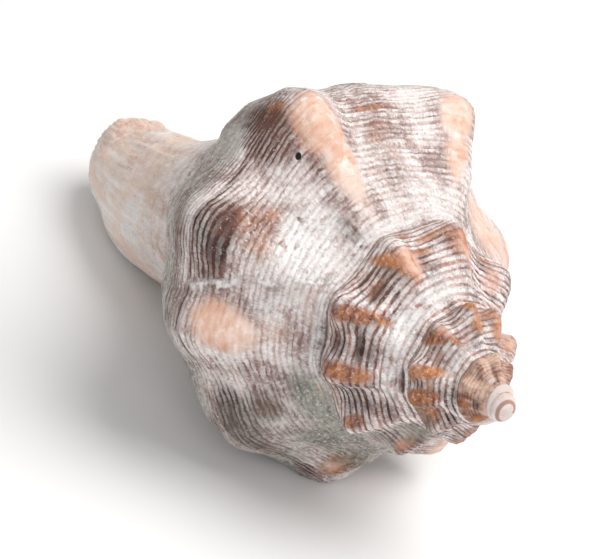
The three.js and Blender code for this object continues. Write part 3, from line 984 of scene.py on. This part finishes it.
    # an old edge of the lip, which healed over, crosses the body whorl as a crooked pale line
    run_of_scar = p.add(p.times(p.add(p.times(place, SCAR[0]), SCAR[1]), place), SCAR[2])
    crooked = p.add(p.swing(cloud, 12.0), p.swing(dashes, 5.0))
    off_scar = p.math("ABSOLUTE", p.add(p.math("SUBTRACT", angle, run_of_scar), crooked))
    on_body = p.times(p.step(place, 3.6, 3.2), p.step(p.math("ABSOLUTE", p.add(angle, 150.0)), 40.0, 30.0))
    scar = p.times(p.step(off_scar, 2.2, 0.4), on_body, p.step(fine, 0.3, 0.55))
    cover = p.most(cover, p.times(scar, 0.85))
    white = p.shade(fine, 0.3, 0.65, WHITE)
    # greyer cords below the shoulder; on the body whorl partly painted shade
    white = p.mix(p.times(below, 0.6), white, p.mix(body, *BELOW_WHITE))
    # cords greyed by the crust, partly painted shade
    white = p.mix(p.times(is_crust_and_shade, 0.8), white, CRUST_AND_SHADE_WHITE)
    skin = p.mix(cover, ground, white)

    # fine grains all over, painted shade in the seams between the whorls and brown lines round the tip
    plain = p.times(p.less(is_peach), p.less(p.times(early, 0.6)))
    skin = p.mix(p.times(p.step(grain, 0.45, 0.3), plain, 0.38), skin, DARK_GRAIN)
    paleness = p.times(p.less(p.times(is_dark, 0.8)), p.add(0.3, p.times(body, 0.15)))
    skin = p.mix(p.times(p.step(grain, 0.55, 0.7), plain, paleness), skin, PALE_GRAIN)
    # the seams between the whorls darkened: painted shade in these creases
    seam_shade = p.step(p.add(seam, p.swing(fine, 0.9)), 0.55, 0.95)
    skin = p.mix(p.times(seam_shade, p.less(tip), 0.6), skin, SEAM_SHADE)
    skin = p.mix(p.times(p.step(seam, 0.3, 0.9), tip, 0.8), skin, TIP_LINE)
    curl = p.apart(place, p.add(p.times(p.add(angle, CURL[0]), CURL[1]), CURL[2]))
    curl = p.times(p.step(curl, 0.14, 0.05), p.step(angle, -1400.0, -1412.0), 0.75)
    skin = p.mix(curl, skin, TIP_LINE)

    # a round hole that a small animal bored beside a knob
    aside = p.times(p.add(angle, -HOLE[0]), HOLE_SCALE[0])
    along = p.times(p.add(place, -HOLE[1]), HOLE_SCALE[1])
    from_hole = p.math("SQRT", p.add(p.square(aside), p.square(along)))
    hole = p.step(p.add(from_hole, p.times(p.less(body), 100.0)), *HOLE_EDGE)
    skin = p.mix(hole, skin, HOLE_SHADE)
    skin = p.mix(inside, skin, p.shade(cloud, 0.3, 0.75, LINING))
    p.put(p.surface.inputs["Base Color"], skin)

    # the peach knobs and the lining are glossier
    roughness = p.mix_value(p.most(inside, p.times(is_peach, 0.6)), 0.78, 0.34)
    p.put(p.surface.inputs["Roughness"], p.add(roughness, p.swing(fine, 0.2)))
    p.surface.inputs["Specular IOR Level"].default_value = 0.4

    bare = p.times(p.less(p.times(is_peach, 0.8)), p.less(inside))
    height = p.times(run, bare, -0.3)
    bumps = (
        p.times(p.centred(ticks), bare, 0.8),
        p.times(p.centred(fine), bare, 0.9),
        p.swing(grain, 0.25),
        p.times(is_crust_and_shade, fine, 2.0),
        p.times(hole, -6.0),
        p.times(scar, 1.5),
    )
    for more in bumps:
        height = p.add(height, more)
    node = p.tree.nodes.new("ShaderNodeBump")
    node.inputs["Strength"].default_value = 0.8
    node.inputs["Distance"].default_value = 0.00016
    p.put(node.inputs["Height"], height)
    p.put(p.surface.inputs["Normal"], node.outputs["Normal"])
    return material


mesh.materials.append(shell_material())
bpy.context.scene.view_settings.view_transform = "Standard"

# The floor, the camera and the light.
h = FLOOR_HALF
floor_mesh = bpy.data.meshes.new("floor")
floor_mesh.from_pydata([(-h, -h, 0), (h, -h, 0), (h, h, 0), (-h, h, 0)], [], [(0, 1, 2, 3)])
floor = bpy.data.objects.new("floor", floor_mesh)
bpy.context.scene.collection.objects.link(floor)
floor_material = bpy.data.materials.new("floor_paper")
floor_material.use_nodes = True
floor_material.node_tree.nodes["Principled BSDF"].inputs["Base Color"].default_value = FLOOR_PAPER
floor_mesh.materials.append(floor_material)

camera_data = bpy.data.cameras.new("camera")
camera = bpy.data.objects.new("camera", camera_data)
bpy.context.scene.collection.objects.link(camera)
camera.location = CAMERA_AT
camera.rotation_euler = Euler(CAMERA_TURN, "XYZ")
camera_data.sensor_width = SENSOR
camera_data.lens = LENS
camera_data.clip_start = 0.01
bpy.context.scene.camera = camera


def area_light(name, location, size, power, tint):
    data = bpy.data.lights.new(name, "AREA")
    data.shape = "DISK"
    data.size = size
    data.energy = power
    data.color = tint
    light = bpy.data.objects.new(name, data)
    light.location = location
    x, y, z = np.array(location) - np.array(LIT_SPOT)
    light.rotation_euler = (math.atan2(math.hypot(x, y), z), 0, math.atan2(x, -y))
    bpy.context.scene.collection.objects.link(light)


for light in LIGHTS:
    area_light(*light)
world = bpy.data.worlds.new("studio")
world.use_nodes = True
world.node_tree.nodes["Background"].inputs["Color"].default_value = (1, 1, 1, 1)
world.node_tree.nodes["Background"].inputs["Strength"].default_value = DAYLIGHT
bpy.context.scene.world = world
